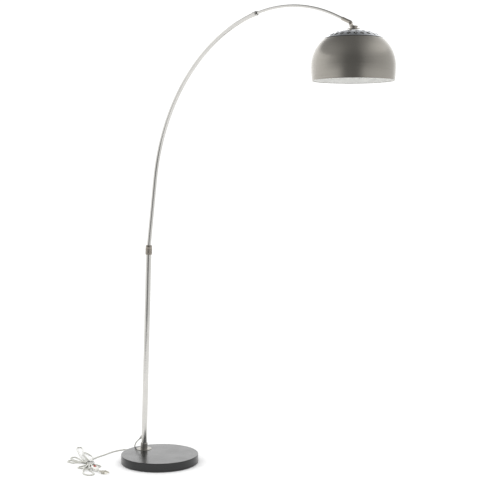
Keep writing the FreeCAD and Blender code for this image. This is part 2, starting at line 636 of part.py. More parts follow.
# From the gland down over the rim of the base, and along the floor to the hank.
CORD_LEAD = [
    tuple(gland_tip), tuple(gland_run), (-165.0, 4.0, 37.5), (-177.5, 13.0, 16.0), (-192.5, 23.0, 2.6),
    (-216.5, 27.5, 2.6), (-238.0, 16.0, 2.6), (-246.0, -6.0, 2.6), (-248.0, -34.0, 2.6), (-241.0, -69.0, 2.6),
    (-230.0, -104.0, 2.6), (-224.0, -132.0, 2.6), (-219.1, -153.3, 2.6),
]
SWITCH_LEAD = [(-136.0, -230.5, 7.6), tuple(lead_in_run), tuple(lead_in)]
PLUG_LEAD = [tuple(lead_out), tuple(lead_out_run), tuple(plug_start)]

# Outline of the tied hank: long lobes fanning out on the floor from a waist inside the tie.
HANK_OUTLINE = [
    (-146.9, -211.9), (-152.4, -208.7), (-176, -200), (-198, -178), (-213.4, -151.4), (-224.8, -155.1),
    (-232, -150), (-262, -138), (-292, -132), (-308, -143), (-368, -101), (-396, -96), (-404, -112),
    (-388, -130),
    (-352, -150), (-300, -182), (-278, -199), (-290, -208), (-292, -222), (-276, -236), (-270, -248),
    (-258, -263),
    (-212, -266), (-184, -254), (-170, -240), (-167.1, -234.1), (-161.6, -237.3), (-161, -262), (-157, -286),
    (-146, -300), (-121, -302), (-112, -292), (-88, -316), (-58, -329), (-34, -324), (-24, -304), (-32, -286),
    (-60, -279), (-84, -272), (-116, -262), (-136, -250), (-140.8, -234.8), (-131.2, -226.2), (-124, -233.5),
    (-108, -235), (-99, -219), (-108, -204), (-128, -204),
]


def cord_path(points):
    """Straight runs joined by tangent arcs, each arc as large as its two runs allow."""
    spots = [FreeCAD.Vector(*point) for point in points]
    edges, radii = [], []
    at = spots[0]
    for before, corner, after in zip(spots, spots[1:], spots[2:]):
        into, away = corner - before, after - corner
        shorter = min(into.Length, away.Length)
        half_turn = into.getAngle(away) / 2
        set_back = 0.45 * shorter
        radii.append(set_back / math.tan(half_turn))
        into.normalize()
        away.normalize()
        first, last = corner - into * set_back, corner + away * set_back
        centre_way = (away - into).normalize()
        crown = corner + centre_way * (radii[-1] / math.cos(half_turn) - radii[-1])
        if (first - at).Length > 1e-6:
            edges.append(Part.LineSegment(at, first).toShape())
        edges.append(Part.Arc(first, crown, last).toShape())
        at = last
    edges.append(Part.LineSegment(at, spots[-1]).toShape())
    return Part.Wire(edges), radii


def cord_tube(name, points):
    wire, radii = cord_path(points)
    spots = [FreeCAD.Vector(*point) for point in points]
    direction = spots[1] - spots[0]
    circle = Part.Wire(Part.makeCircle(size("cord_radius"), spots[0], direction))
    tube = wire.makePipeShell([circle], True, False)
    expected = math.pi * size("cord_radius") ** 2 * wire.Length
    print("%s: length %.1f, volume ratio %.4f, bend radii %s" % (
        name, wire.Length, tube.Volume / expected, [round(radius, 1) for radius in radii]))
    return solid(name, tube)


def make_cord():
    cord_tube("cord_lead", CORD_LEAD)
    cord_tube("cord_switch_lead", SWITCH_LEAD)
    cord_tube("cord_plug_lead", PLUG_LEAD)
    corners = [FreeCAD.Vector(x, y, size("floor_gap")) for x, y in HANK_OUTLINE]
    plate = Part.Face(Part.makePolygon(corners + corners[:1]))
    solid("cord_hank", plate.extrude(FreeCAD.Vector(0, 0, size("hank_height"))))

    width, height, length, wall = (size("tie_" + name) for name in ("width", "height", "length", "wall"))
    outer = Part.makeBox(length, width, height, FreeCAD.Vector(-length / 2, -width / 2, 0))
    inner_corner = FreeCAD.Vector(-length, -width / 2 + wall, size("floor_gap / 2"))
    inner = Part.makeBox(2 * length, width - 2 * wall, height - wall, inner_corner)
    tie_frame = placement(size("tie_x"), size("tie_y"), size("floor_gap"), axis=upright,
                          angle=size("tie_turn"))
    solid("cord_tie", outer.cut(inner), tie_frame)


# ------------------------------------------------------------------ in-line switch and plug
def make_switch():
    half = "switch_height / 2"
    inner_length, inner_width = "switch_length - 2 * switch_wall", "switch_width - 2 * switch_wall"
    seam = half + " + floor_gap"

    def outside(sketch):
        rectangle(sketch, "switch_length", "switch_width")

    def inside(sketch):
        rectangle(sketch, inner_length, inner_width)
    lower = padded_body("switch_lower", switch_frame, outside, half, "floor_gap")
    cut_into(lower, inside, half + " - switch_wall", seam, False)
    upper = padded_body("switch_upper", switch_frame, outside, half, seam)
    cut_into(upper, inside, half + " - switch_wall", seam, True)
    cut_into(upper, lambda s: rectangle(s, "window_length", "window_width"), "switch_height", half, True)

    rocker_place = switch_frame * placement(z=size("rocker_pivot"), angle=size("rocker_tilt"))
    rocker = body_named("switch_rocker", rocker_place)
    profile = sketch_on(rocker, "XZ_Plane", "0 - rocker_width / 2")
    outline(profile, [
        ("0 - rocker_length / 2", "0 - 2"), ("rocker_length / 2", "0 - 2"),
        ("rocker_length / 2", "rocker_height"),
        ("0", "rocker_height - 1.4"), ("0 - rocker_length / 2", "rocker_height")])
    feature(rocker, "Pad", profile, Length="rocker_width")
    cut_into(rocker, lambda s: ring(s, "rocker_pin_radius + 0.05"), "2 * rocker_width", "0 - rocker_width",
             True,
             "XZ_Plane")
    pin_place = switch_frame * placement(z=size("rocker_pivot"), axis=(1, 0, 0), angle=90)
    padded_body("rocker_pin", pin_place, lambda s: ring(s, "rocker_pin_radius"),
                "switch_width - 2 * switch_wall",
                "0 - (switch_width - 2 * switch_wall) / 2")

    for name, way in (("switch_relief_in", -1), ("switch_relief_out", 1)):
        cone = doc.addObject("Part::Cone", name)
        cone.setExpression("Radius1", bind("relief_radius"))
        cone.setExpression("Radius2", bind("cord_radius + 0.4"))
        cone.setExpression("Height", bind("relief_length"))
        cone.Placement = switch_frame * placement(x=way * size("switch_length / 2"), z=switch_level,
                                                  angle=way * 90)
        keep(cone, name)


def make_plug():
    body = body_named("plug_body", plug_frame)
    sketch = sketch_on(body, "XY_Plane", "floor_gap")
    outline(sketch, [
        ("0", "0 - cord_radius - 0.6"), ("plug_neck", "0 - cord_radius - 1.4"),
        ("plug_length - 12", "0 - plug_width / 2"),
        ("plug_length", "0 - plug_width / 2"), ("plug_length", "plug_width / 2"),
        ("plug_length - 12", "plug_width / 2"), ("plug_neck", "cord_radius + 1.4"),
        ("0", "cord_radius + 0.6")])
    feature(body, "Pad", sketch, Length="plug_thickness")

    middle, neck, shoulder = "floor_gap + plug_thickness / 2", "cord_radius + 0.9", "plug_thickness / 2"
    for way in ("+", "-"):
        def wedge(profile):
            outline(profile, [("0 - 1", "%s %s %s" % (middle, way, neck)),
                              ("plug_length - 11", "%s %s %s" % (middle, way, shoulder)),
                              ("plug_length - 11", "%s %s 2 * %s" % (middle, way, shoulder)),
                              ("0 - 1", "%s %s 2 * %s" % (middle, way, shoulder))])
        cut_into(body, wedge, "2 * plug_width", "0 - plug_width", True, "XZ_Plane")

    blades = []
    for side in (-1, 1):
        blade = doc.addObject("Part::Box", "blade_blank")
        blade.setExpression("Length", bind("blade_length"))
        blade.setExpression("Width", bind("blade_thickness"))
        blade.setExpression("Height", bind("blade_width"))
        middle = side * size("blade_spacing / 2") - size("blade_thickness / 2")
        level = plug_level - size("blade_width") / 2
        blade.Placement = plug_frame * placement(size("plug_length"), middle, level)
        blades.append(blade)
    pair = doc.addObject("Part::Compound", "blade_pair")
    pair.Links = blades
    keep(pair, "plug_blades")


for make in (make_base, make_foot, make_pole, make_clamp, make_arm, make_pole_cable, make_tilt_joint,
             make_shade,
             make_lamp, make_cord, make_switch, make_plug):
    make()
doc.recompute()

# ------------------------------------------------------------------ checks and files
for item in doc.Objects:
    if "Invalid" in item.State or "Error" in item.State:
        raise RuntimeError("%s failed: %s" % (item.Label, item.State))
for item in parts:
    if item.Shape.isNull() or not item.Shape.isValid() or not item.Shape.Solids:
        raise RuntimeError("%s has no valid solid" % item.Label)

os.makedirs("parts", exist_ok=True)
for item in parts:
    item.Shape.exportStep("parts/%s.step" % item.Label)
    box, volume = item.Shape.BoundBox, item.Shape.Volume
    print("%-18s volume %10.0f  x %.1f..%.1f  y %.1f..%.1f  z %.2f..%.2f" % (
        item.Label, volume, box.XMin, box.XMax, box.YMin, box.YMax, box.ZMin, box.ZMax))
print("tilt pivot %.2f %.2f, ferrule %.2f %.2f" % (pivot + arc_end))
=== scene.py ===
import json
import math

import bmesh
import bpy
from mathutils import Matrix, Vector


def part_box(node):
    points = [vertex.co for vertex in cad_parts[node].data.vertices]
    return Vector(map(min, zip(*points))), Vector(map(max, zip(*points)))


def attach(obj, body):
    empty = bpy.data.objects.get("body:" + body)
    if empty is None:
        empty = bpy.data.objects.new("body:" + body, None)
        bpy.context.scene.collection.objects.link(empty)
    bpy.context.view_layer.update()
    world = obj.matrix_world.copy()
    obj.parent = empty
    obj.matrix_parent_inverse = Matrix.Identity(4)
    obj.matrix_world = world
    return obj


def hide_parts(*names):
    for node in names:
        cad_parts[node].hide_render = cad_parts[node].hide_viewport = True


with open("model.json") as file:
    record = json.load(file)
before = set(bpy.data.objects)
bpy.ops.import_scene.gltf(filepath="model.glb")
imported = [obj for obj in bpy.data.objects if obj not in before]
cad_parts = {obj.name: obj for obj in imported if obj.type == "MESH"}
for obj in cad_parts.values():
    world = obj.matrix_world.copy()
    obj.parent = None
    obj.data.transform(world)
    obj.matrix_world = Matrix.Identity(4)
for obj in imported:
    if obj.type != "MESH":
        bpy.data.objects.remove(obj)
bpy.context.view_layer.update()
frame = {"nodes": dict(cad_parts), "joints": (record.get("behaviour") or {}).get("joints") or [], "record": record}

NODES = frame["nodes"]
scene = bpy.context.scene


# ------------------------------------------------------------------ camera
def make_camera():
    camera = bpy.data.objects.new("camera", bpy.data.cameras.new("camera"))
    scene.collection.objects.link(camera)
    camera.data.sensor_width = 36
    camera.data.lens = 83
    camera.data.clip_end = 60
    camera.location = (3.3491, -2.7300, 1.1833)
    camera.rotation_euler = Vector((-0.7248, 0.6854, -0.0699)).to_track_quat("-Z", "Y").to_euler()
    scene.camera = camera


# ------------------------------------------------------------------ material helpers
class Paint:
    """A Principled material with short calls for the textures that vary it."""

    def __init__(self, name, colour, roughness=0.5, metallic=0.0, **sockets):
        self.material = bpy.data.materials.new(name)
        self.material.use_nodes = True
        self.tree = self.material.node_tree
        self.shader = self.tree.nodes["Principled BSDF"]
        self.set("Base Color", (*colour, 1.0))
        self.set("Roughness", roughness)
        self.set("Metallic", metallic)
        for socket, value in sockets.items():
            self.set(socket.replace("_", " "), value)
        self.place = self.node("ShaderNodeTexCoord").outputs["Object"]

    def set(self, socket, value):
        self.shader.inputs[socket].default_value = value

    def node(self, kind, **settings):
        node = self.tree.nodes.new(kind)
        for name, value in settings.items():
            setattr(node, name, value)
        return node

    def link(self, output, target):
        self.tree.links.new(output, target)

    def stretched(self, stretch, source=None):
        mapping = self.node("ShaderNodeMapping")
        mapping.inputs["Scale"].default_value = stretch
        self.link(source or self.place, mapping.inputs["Vector"])
        return mapping.outputs["Vector"]

    def noise(self, scale, detail=3.0, stretch=(1, 1, 1), source=None):
        texture = self.node("ShaderNodeTexNoise")
        texture.inputs["Scale"].default_value = scale
        texture.inputs["Detail"].default_value = detail
        self.link(self.stretched(stretch, source), texture.inputs["Vector"])
        return texture.outputs["Fac"]

    def cells(self, scale):
        texture = self.node("ShaderNodeTexVoronoi")
        texture.inputs["Scale"].default_value = scale
        self.link(self.place, texture.inputs["Vector"])
        return texture.outputs["Distance"]

    def around(self, centre):
        """Distance from a vertical axis, the angle about it and the height, as a vector."""
        shift = self.node("ShaderNodeVectorMath", operation="SUBTRACT")
        shift.inputs[1].default_value = centre
        self.link(self.place, shift.inputs[0])
        flat = self.node("ShaderNodeVectorMath", operation="MULTIPLY")
        flat.inputs[1].default_value = (1, 1, 0)
        self.link(shift.outputs[0], flat.inputs[0])
        length = self.node("ShaderNodeVectorMath", operation="LENGTH")
        self.link(flat.outputs[0], length.inputs[0])
        split = self.node("ShaderNodeSeparateXYZ")
        self.link(shift.outputs[0], split.inputs[0])
        angle = self.node("ShaderNodeMath", operation="ARCTAN2")
        self.link(split.outputs["Y"], angle.inputs[0])
        self.link(split.outputs["X"], angle.inputs[1])
        joined = self.node("ShaderNodeCombineXYZ")
        self.link(length.outputs["Value"], joined.inputs["X"])
        self.link(angle.outputs[0], joined.inputs["Y"])
        self.link(split.outputs["Z"], joined.inputs["Z"])
        return joined.outputs[0]

    def colour(self, fac, *stops):
        ramp = self.node("ShaderNodeValToRGB").color_ramp
        while len(ramp.elements) < len(stops):
            ramp.elements.new(0.5)
        for element, (position, colour) in zip(ramp.elements, stops):
            element.position = position
            element.color = (*colour, 1.0)
        node = self.tree.nodes[-1]
        self.link(fac, node.inputs["Fac"])
        self.link(node.outputs["Color"], self.shader.inputs["Base Color"])
        return self

    def rough(self, fac, low, high):
        spread = self.node("ShaderNodeMapRange")
        spread.inputs["From Min"].default_value = 0.3
        spread.inputs["From Max"].default_value = 0.7
        spread.inputs["To Min"].default_value = low
        spread.inputs["To Max"].default_value = high
        self.link(fac, spread.inputs["Value"])
        self.link(spread.outputs["Result"], self.shader.inputs["Roughness"])
        return self

    def bump(self, height, strength, distance):
        bump = self.node("ShaderNodeBump")
        bump.inputs["Strength"].default_value = strength
        bump.inputs["Distance"].default_value = distance
        self.link(height, bump.inputs["Height"])
        self.link(bump.outputs["Normal"], self.shader.inputs["Normal"])
        return self

    def grained(self, amount):
        """Reflections drawn out across brush lines that run round the vertical axis."""
        tangent = self.node("ShaderNodeTangent", direction_type="RADIAL", axis="Z")
        self.link(tangent.outputs["Tangent"], self.shader.inputs["Tangent"])
        self.set("Anisotropic", amount)
        return self


def shades(colour, spread):
    """A colour made darker and lighter by a share."""
    dark = tuple(channel * (1 - spread) for channel in colour)
    light = tuple(min(channel * (1 + spread), 1) for channel in colour)
    return dark, light


def make_stone():
    paint = Paint("polished_stone", (0.02, 0.021, 0.022), 0.22, IOR=1.5)
    paint.colour(paint.noise(420, 6), (0.35, (0.004, 0.0042, 0.0046)), (0.6, (0.008, 0.0085, 0.009)),
                 (0.72, (0.022, 0.024, 0.025)))
    paint.rough(paint.noise(18, 4), 0.2, 0.27)
    return paint.bump(paint.cells(900), 0.05, 0.0002).material


def make_felt():
    paint = Paint("felt", (0.02, 0.02, 0.02), 0.95, Sheen_Weight=0.4)
    low, high = shades((0.025, 0.025, 0.026), 0.6)
    paint.colour(paint.noise(1400, 5), (0.3, low), (0.7, high))
    return paint.bump(paint.noise(2200, 4), 0.6, 0.0006).material


def make_metal(name, colour, low, high, lines=900, spread=0.04, depth=0.00002):
    """Plated or polished metal: smudges in the gloss and fine lines round the tube."""
    paint = Paint(name, colour, low, 1.0)
    dark, light = shades(colour, spread)
    paint.colour(paint.noise(14, 4), (0.3, dark), (0.7, light))
    streaks = paint.noise(1.0, 2, (14, 14, lines))
    paint.rough(paint.noise(32, 5, (1, 1, 0.3)), low, high)
    return paint.bump(streaks, 0.12, depth).material


def make_shade_metal(axis):
    """Spun and brushed shade: lines run round the axis, and smudges follow them."""
    paint = Paint("brushed_shade", (0.5, 0.47, 0.42), 0.3, 1.0)
    round_axis = paint.around(axis)
    lines = paint.noise(1.0, 4, (0, 3.5, 1500), round_axis)
    paint.colour(paint.noise(1.0, 3, (0, 0.8, 500), round_axis), (0.3, (0.335, 0.318, 0.286)),
                 (0.7, (0.36, 0.343, 0.311)))
    paint.rough(lines, 0.2, 0.26)
    paint.bump(lines, 0.08, 0.00002)
    return paint.grained(0.6).material


def make_cap_chrome_with_painted_shade():
    """Polished cap with painted shade: faces that point down or sideways, such as the underside and the vent-hole
    walls, are coloured near-black.
    """
    paint = Paint("chrome", (0.62, 0.64, 0.675), 0.08, 1.0)
    split = paint.node("ShaderNodeSeparateXYZ")
    paint.link(paint.node("ShaderNodeTexCoord").outputs["Normal"], split.inputs[0])
    # Painted shade: the colour goes near-black where the face's normal points less than about 0.3 upward.
    paint.colour(split.outputs["Z"], (0.3, (0.02, 0.02, 0.022)), (0.36, (0.62, 0.64, 0.675)))
    paint.rough(paint.noise(32, 5), 0.06, 0.13)
    return paint.bump(paint.noise(500, 2), 0.06, 0.00001).material


def make_enamel():
    paint = Paint("white_enamel", (0.86, 0.86, 0.84), 0.38, Coat_Weight=0.15)
    low, high = shades((0.87, 0.87, 0.85), 0.03)
    paint.colour(paint.noise(22, 3), (0.3, low), (0.7, high))
    return paint.bump(paint.noise(380, 2), 0.08, 0.0002).material


def make_plastic(name, colour, low=0.28, high=0.42, grain=900, **sockets):
    paint = Paint(name, colour, low, IOR=1.49, **sockets)
    dark, light = shades(colour, 0.08)
    paint.colour(paint.noise(60, 4), (0.3, dark), (0.7, light))
    paint.rough(paint.noise(150, 4), low, high)
    return paint.bump(paint.noise(grain, 3), 0.15, 0.00012).material


def make_sheath():
    """Silver-grey sheath, drawn opaque with its tone mottled lighter and darker; on the real lead it is
    see-through over two twisted cores.
    """
    paint = Paint("cord_sheath", (0.46, 0.46, 0.42), 0.24, IOR=1.5, Coat_Weight=0.5, Coat_Roughness=0.12)
    paint.colour(paint.noise(420, 4), (0.3, (0.36, 0.36, 0.32)), (0.55, (0.52, 0.52, 0.47)),
                 (0.75, (0.68, 0.68, 0.64)))
    return paint.bump(paint.noise(500, 2), 0.12, 0.0003).material


def make_bulb_glass():
    paint = Paint("frosted_glass", (0.93, 0.93, 0.9), 0.42, Transmission_Weight=0.45, IOR=1.45,
                  Coat_Weight=0.6,
                  Coat_Roughness=0.06)
    low, high = shades((0.92, 0.92, 0.89), 0.03)
    paint.colour(paint.noise(40, 3), (0.3, low), (0.7, high))
    return paint.bump(paint.noise(900, 2), 0.05, 0.0001).material


def make_porcelain():
    paint = Paint("porcelain", (0.84, 0.83, 0.8), 0.16, Coat_Weight=0.7, Coat_Roughness=0.05)
    low, high = shades((0.84, 0.83, 0.8), 0.04)
    paint.colour(paint.noise(35, 4), (0.3, low), (0.7, high))
    return paint.bump(paint.noise(160, 3), 0.06, 0.0003).material


def make_materials():
    low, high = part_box("shade_dome")
    axis = ((low[0] + high[0]) / 2, 0.0, 0.0)
    return {
        "stone": make_stone(), "felt": make_felt(),
        "satin_nickel": make_metal("satin_nickel", (0.62, 0.61, 0.585), 0.14, 0.22, 300, depth=0.000015),
        "zinc_steel": make_metal("zinc_steel", (0.56, 0.57, 0.58), 0.28, 0.42, 500),
        "knurled_nickel": make_metal("knurled_nickel", (0.34, 0.31, 0.27), 0.28, 0.4, 600),
        "chrome": make_cap_chrome_with_painted_shade(),
        "brushed_shade": make_shade_metal(axis), "white_enamel": make_enamel(),
        "nylon": make_plastic("nylon", (0.76, 0.75, 0.7), 0.45, 0.6),
        "grey_plastic": make_plastic("grey_plastic", (0.4, 0.4, 0.37)),
        "dark_plastic": make_plastic("dark_plastic", (0.03, 0.028, 0.026)),
        "white_plastic": make_plastic("white_plastic", (0.76, 0.76, 0.72), 0.22, 0.34),
        "red_plastic": make_plastic("red_plastic", (0.36, 0.035, 0.02), 0.2, 0.32),
        "beige_plastic": make_plastic("beige_plastic", (0.42, 0.405, 0.35), 0.3, 0.42),
        "blade_brass": make_metal("blade_brass", (0.8, 0.78, 0.7), 0.18, 0.3, 400),
        "porcelain": make_porcelain(), "bulb_metal": make_metal("bulb_metal", (0.72, 0.72, 0.73), 0.2, 0.34,
                                                                400),
        "bulb_glass": make_bulb_glass(), "cord_sheath": make_sheath(),
    }


MATERIALS = make_materials()
DISC_NICKEL = make_metal("disc_nickel", (0.42, 0.395, 0.355), 0.16, 0.26, 300)
FOOT_NICKEL = make_metal("foot_nickel", (0.42, 0.405, 0.375), 0.3, 0.42, 300)


def paint_nodes():
    """Every CAD node gets the material of its slot in the record."""
    for entry in frame["record"]["subparts"]:
        obj = NODES[entry["node"]]
        obj.data.materials.clear()
        obj.data.materials.append(MATERIALS[entry["material_slot"]])
    for name in ("upper_disc", "lower_disc", "disc_spacer", "tilt_fork", "tilt_stem", "tilt_pin", "tilt_nut"):
        NODES[name].data.materials[0] = DISC_NICKEL
    for name in ("foot_flange", "foot_collar"):
        NODES[name].data.materials[0] = FOOT_NICKEL


def soften(width, *names):
    """Small rounds on the edges of CAD nodes."""
    for name in names:
        bevel = NODES[name].modifiers.new("edges", "BEVEL")
        bevel.width = width
        bevel.segments = 2
        bevel.limit_method = "ANGLE"
        bevel.angle_limit = math.radians(40)
        bevel.harden_normals = True


# ------------------------------------------------------------------ mesh helpers
def add_piece(name, vertices, faces, slot, body, *replaced, place=Matrix(), smooth=True):
    mesh = bpy.data.meshes.new(name)
    mesh.from_pydata([place @ Vector(vertex) for vertex in vertices], [], faces)
    work = bmesh.new()
    work.from_mesh(mesh)
    bmesh.ops.remove_doubles(work, verts=work.verts, dist=1e-7)
    bmesh.ops.recalc_face_normals(work, faces=work.faces)
    for face in work.faces:
        face.smooth = smooth
    work.to_mesh(mesh)
    work.free()
    obj = bpy.data.objects.new(name, mesh)
    scene.collection.objects.link(obj)
    mesh.materials.append(MATERIALS[slot])
    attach(obj, body)
    if replaced:
        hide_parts(*replaced)
    return obj


def ring_faces(rows, columns, closed=False):
    """Quads over a grid of rings; closed also joins the last ring to the first."""
    faces = []
    for row in range(rows if closed else rows - 1):
        above = (row + 1) % rows
        for column in range(columns):
            beside = (column + 1) % columns
            faces.append((row * columns + column, row * columns + beside, above * columns + beside,
                          above * columns + column))
    return faces


def caps(rows, columns):
    last = (rows - 1) * columns
    return [tuple(reversed(range(columns))), tuple(range(last, last + columns))]


def axis_frame(start, direction):
    """A frame at start whose +Z runs along direction."""
    return Matrix.Translation(start) @ direction.to_track_quat("Z", "Y").to_matrix().to_4x4()


# ------------------------------------------------------------------ cord
# The lead's whole route: out of the gland, over the rim of the base and along the floor, through the loops of
# the tied hank, through the switch and into the plug. Strands on the floor are at its lower height, and those
# that cross over others are at the upper one.
LEAD = [
    (-0.1279, 0.0, 0.0706), (-0.1463, 0.0, 0.0568), (-0.165, 0.004, 0.0375), (-0.1775, 0.013, 0.016),
    (-0.1925, 0.023, 0.0026), (-0.2165, 0.0275, 0.0026), (-0.238, 0.016, 0.0026), (-0.246, -0.006, 0.0026),
    (-0.248, -0.034, 0.0026), (-0.241, -0.069, 0.0026), (-0.23, -0.104, 0.0026), (-0.224, -0.132, 0.0026),
    (-0.2191, -0.1533, 0.0026),
]
HANK = [
    # short loop behind the switch lead
    (-0.209, -0.175, 0.0026), (-0.194, -0.193, 0.0026), (-0.178, -0.203, 0.0026), (-0.1624, -0.2083, 0.0026),
    (-0.1411, -0.2165, 0.0026), (-0.1184, -0.2077, 0.0026), (-0.1086, -0.2077, 0.0026),
    (-0.1017, -0.2146, 0.0026), (-0.1017, -0.2244, 0.0026), (-0.1086, -0.2313, 0.0026),
    (-0.1184, -0.2313, 0.0026), (-0.1436, -0.2238, 0.0026), (-0.1649, -0.2127, 0.0026),
    # longest loop
    (-0.192, -0.205, 0.0026), (-0.225, -0.193, 0.0026), (-0.258, -0.177, 0.0026), (-0.306, -0.15, 0.0026),
    (-0.345, -0.126, 0.0026), (-0.377, -0.1039, 0.0026), (-0.3858, -0.0997, 0.0026),
    (-0.3951, -0.103, 0.0026), (-0.3993, -0.1118, 0.0026), (-0.396, -0.1211, 0.0026),
    (-0.3872, -0.1253, 0.0026), (-0.35, -0.146, 0.0026), (-0.3, -0.172, 0.0026), (-0.264, -0.19, 0.0026),
    (-0.229, -0.203, 0.0026), (-0.196, -0.212, 0.0026), (-0.1674, -0.217, 0.0026),
    # wide loop in front of the switch
    (-0.1464, -0.2286, 0.0026), (-0.134, -0.243, 0.0026), (-0.122, -0.259, 0.0026), (-0.106, -0.27, 0.0026),
    (-0.08, -0.278, 0.0026), (-0.056, -0.284, 0.0026), (-0.038, -0.29, 0.0026), (-0.0275, -0.303, 0.0026),
    (-0.035, -0.319, 0.0026), (-0.058, -0.324, 0.0026), (-0.088, -0.309, 0.0026), (-0.111, -0.286, 0.0026),
    (-0.127, -0.264, 0.0026), (-0.14, -0.247, 0.0026), (-0.1491, -0.2333, 0.0026),
    (-0.1699, -0.2213, 0.0026),
    # loop to the far side
    (-0.196, -0.22, 0.0026), (-0.226, -0.215, 0.0026), (-0.252, -0.209, 0.0026), (-0.2735, -0.2052, 0.0026),
    (-0.2833, -0.2063, 0.0026), (-0.2893, -0.214, 0.0026), (-0.2882, -0.2238, 0.0026),
    (-0.2805, -0.2298, 0.0026), (-0.2707, -0.2287, 0.0026), (-0.252, -0.2345, 0.0026),
    (-0.222, -0.234, 0.0026), (-0.195, -0.23, 0.0026), (-0.1724, -0.2257, 0.0026),
    # short loop towards the front, climbing over its own start
    (-0.1575, -0.2355, 0.0026), (-0.1545, -0.25, 0.0026), (-0.1548, -0.2728, 0.0026),
    (-0.1538, -0.2826, 0.0026), (-0.1462, -0.2888, 0.0026), (-0.1364, -0.2878, 0.0026),
    (-0.1302, -0.2802, 0.0026), (-0.1312, -0.2704, 0.0026), (-0.136, -0.255, 0.0055),
    (-0.147, -0.24, 0.0078), (-0.1715, -0.227, 0.0078),
    # stub loop on the far side
    (-0.188, -0.237, 0.0078), (-0.203, -0.251, 0.0055), (-0.218, -0.2645, 0.0026),
    (-0.2384, -0.2658, 0.0026), (-0.2482, -0.2668, 0.0026), (-0.2558, -0.2606, 0.0026),
    (-0.2568, -0.2508, 0.0026), (-0.2506, -0.2432, 0.0026), (-0.2408, -0.2422, 0.0026),
    (-0.222, -0.2425, 0.0026), (-0.205, -0.2375, 0.0055), (-0.188, -0.2285, 0.0078),
    (-0.1689, -0.2235, 0.0078),
    # loop that lies on the wide loop's roots
    (-0.1481, -0.2316, 0.0078), (-0.139, -0.246, 0.0078), (-0.126, -0.264, 0.0078),
    (-0.1137, -0.2845, 0.0078), (-0.1073, -0.2919, 0.0078), (-0.0975, -0.2927, 0.0078),
    (-0.0901, -0.2863, 0.0078), (-0.0893, -0.2765, 0.0078), (-0.0957, -0.2691, 0.0078),
    (-0.104, -0.2665, 0.0078), (-0.121, -0.2555, 0.0078), (-0.134, -0.242, 0.0078),
    (-0.1454, -0.2268, 0.0078), (-0.1654, -0.2135, 0.0078),
    # round loop that lies on the longest one
    (-0.19, -0.203, 0.0078), (-0.222, -0.192, 0.0078), (-0.252, -0.178, 0.0078), (-0.2857, -0.1653, 0.0078),
    (-0.2945, -0.1611, 0.0078), (-0.2978, -0.1518, 0.0078), (-0.2936, -0.143, 0.0055),
    (-0.2843, -0.1397, 0.0026), (-0.2755, -0.1439, 0.0026), (-0.258, -0.144, 0.0026),
    (-0.234, -0.157, 0.0026), (-0.217, -0.171, 0.0078), (-0.2, -0.186, 0.0078), (-0.181, -0.2, 0.0078),
    (-0.1624, -0.2083, 0.0078), (-0.1426, -0.2221, 0.0078),
]
SWITCH_LEAD = [(-0.136, -0.2305, 0.0076), (-0.126, -0.2415, 0.0076), (-0.1088, -0.2467, 0.0076)]
PLUG_LEAD = [(-0.0552, -0.2629, 0.0076), (-0.0463, -0.2645, 0.0074), (-0.0373, -0.2633, 0.0066)]
CORD_DIAMETER = 0.005


def make_cord():
    points = LEAD + HANK + SWITCH_LEAD + PLUG_LEAD
    data = bpy.data.curves.new("mains_lead", "CURVE")
    data.dimensions = "3D"
    data.bevel_depth = CORD_DIAMETER / 2
    data.bevel_resolution = 5
    data.resolution_u = 10
    spline = data.splines.new("NURBS")
    spline.points.add(len(points) - 1)
    for point, place in zip(spline.points, points):
        point.co = (*place, 1.0)
    spline.order_u = 3
    spline.use_endpoint_u = True
    data.materials.append(MATERIALS["cord_sheath"])
    cord = bpy.data.objects.new("mains_lead", data)
    scene.collection.objects.link(cord)
    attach(cord, "base")
    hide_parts("cord_lead", "cord_hank", "cord_switch_lead", "cord_plug_lead")
    return cord


def make_gland():
    """Ribbed strain relief: a tapered sleeve with slots between its ribs."""
    start, tip = Vector((-0.1087, 0, 0.08497)), Vector(LEAD[0])
    length = (tip - start).length
    columns, rows = 40, 61
    vertices = []
    for row in range(rows):
        along = row / (rows - 1)
        z = 0.0054 + (length - 0.0054) * along
        radius = 0.0046 + (0.0029 - 0.0046) * along
        if along < 0.1:
            radius = 0.0064
        elif math.sin(along * math.tau * 5.5) > 0.1 and along < 0.93:
            radius -= 0.0007
        for column in range(columns):
            turn = math.tau * column / columns
            vertices.append((radius * math.cos(turn), radius * math.sin(turn), z))
    faces = ring_faces(rows, columns) + caps(rows, columns)
    return add_piece("strain_relief", vertices, faces, "grey_plastic", "base", "cord_gland",
                     place=axis_frame(start, tip - start))


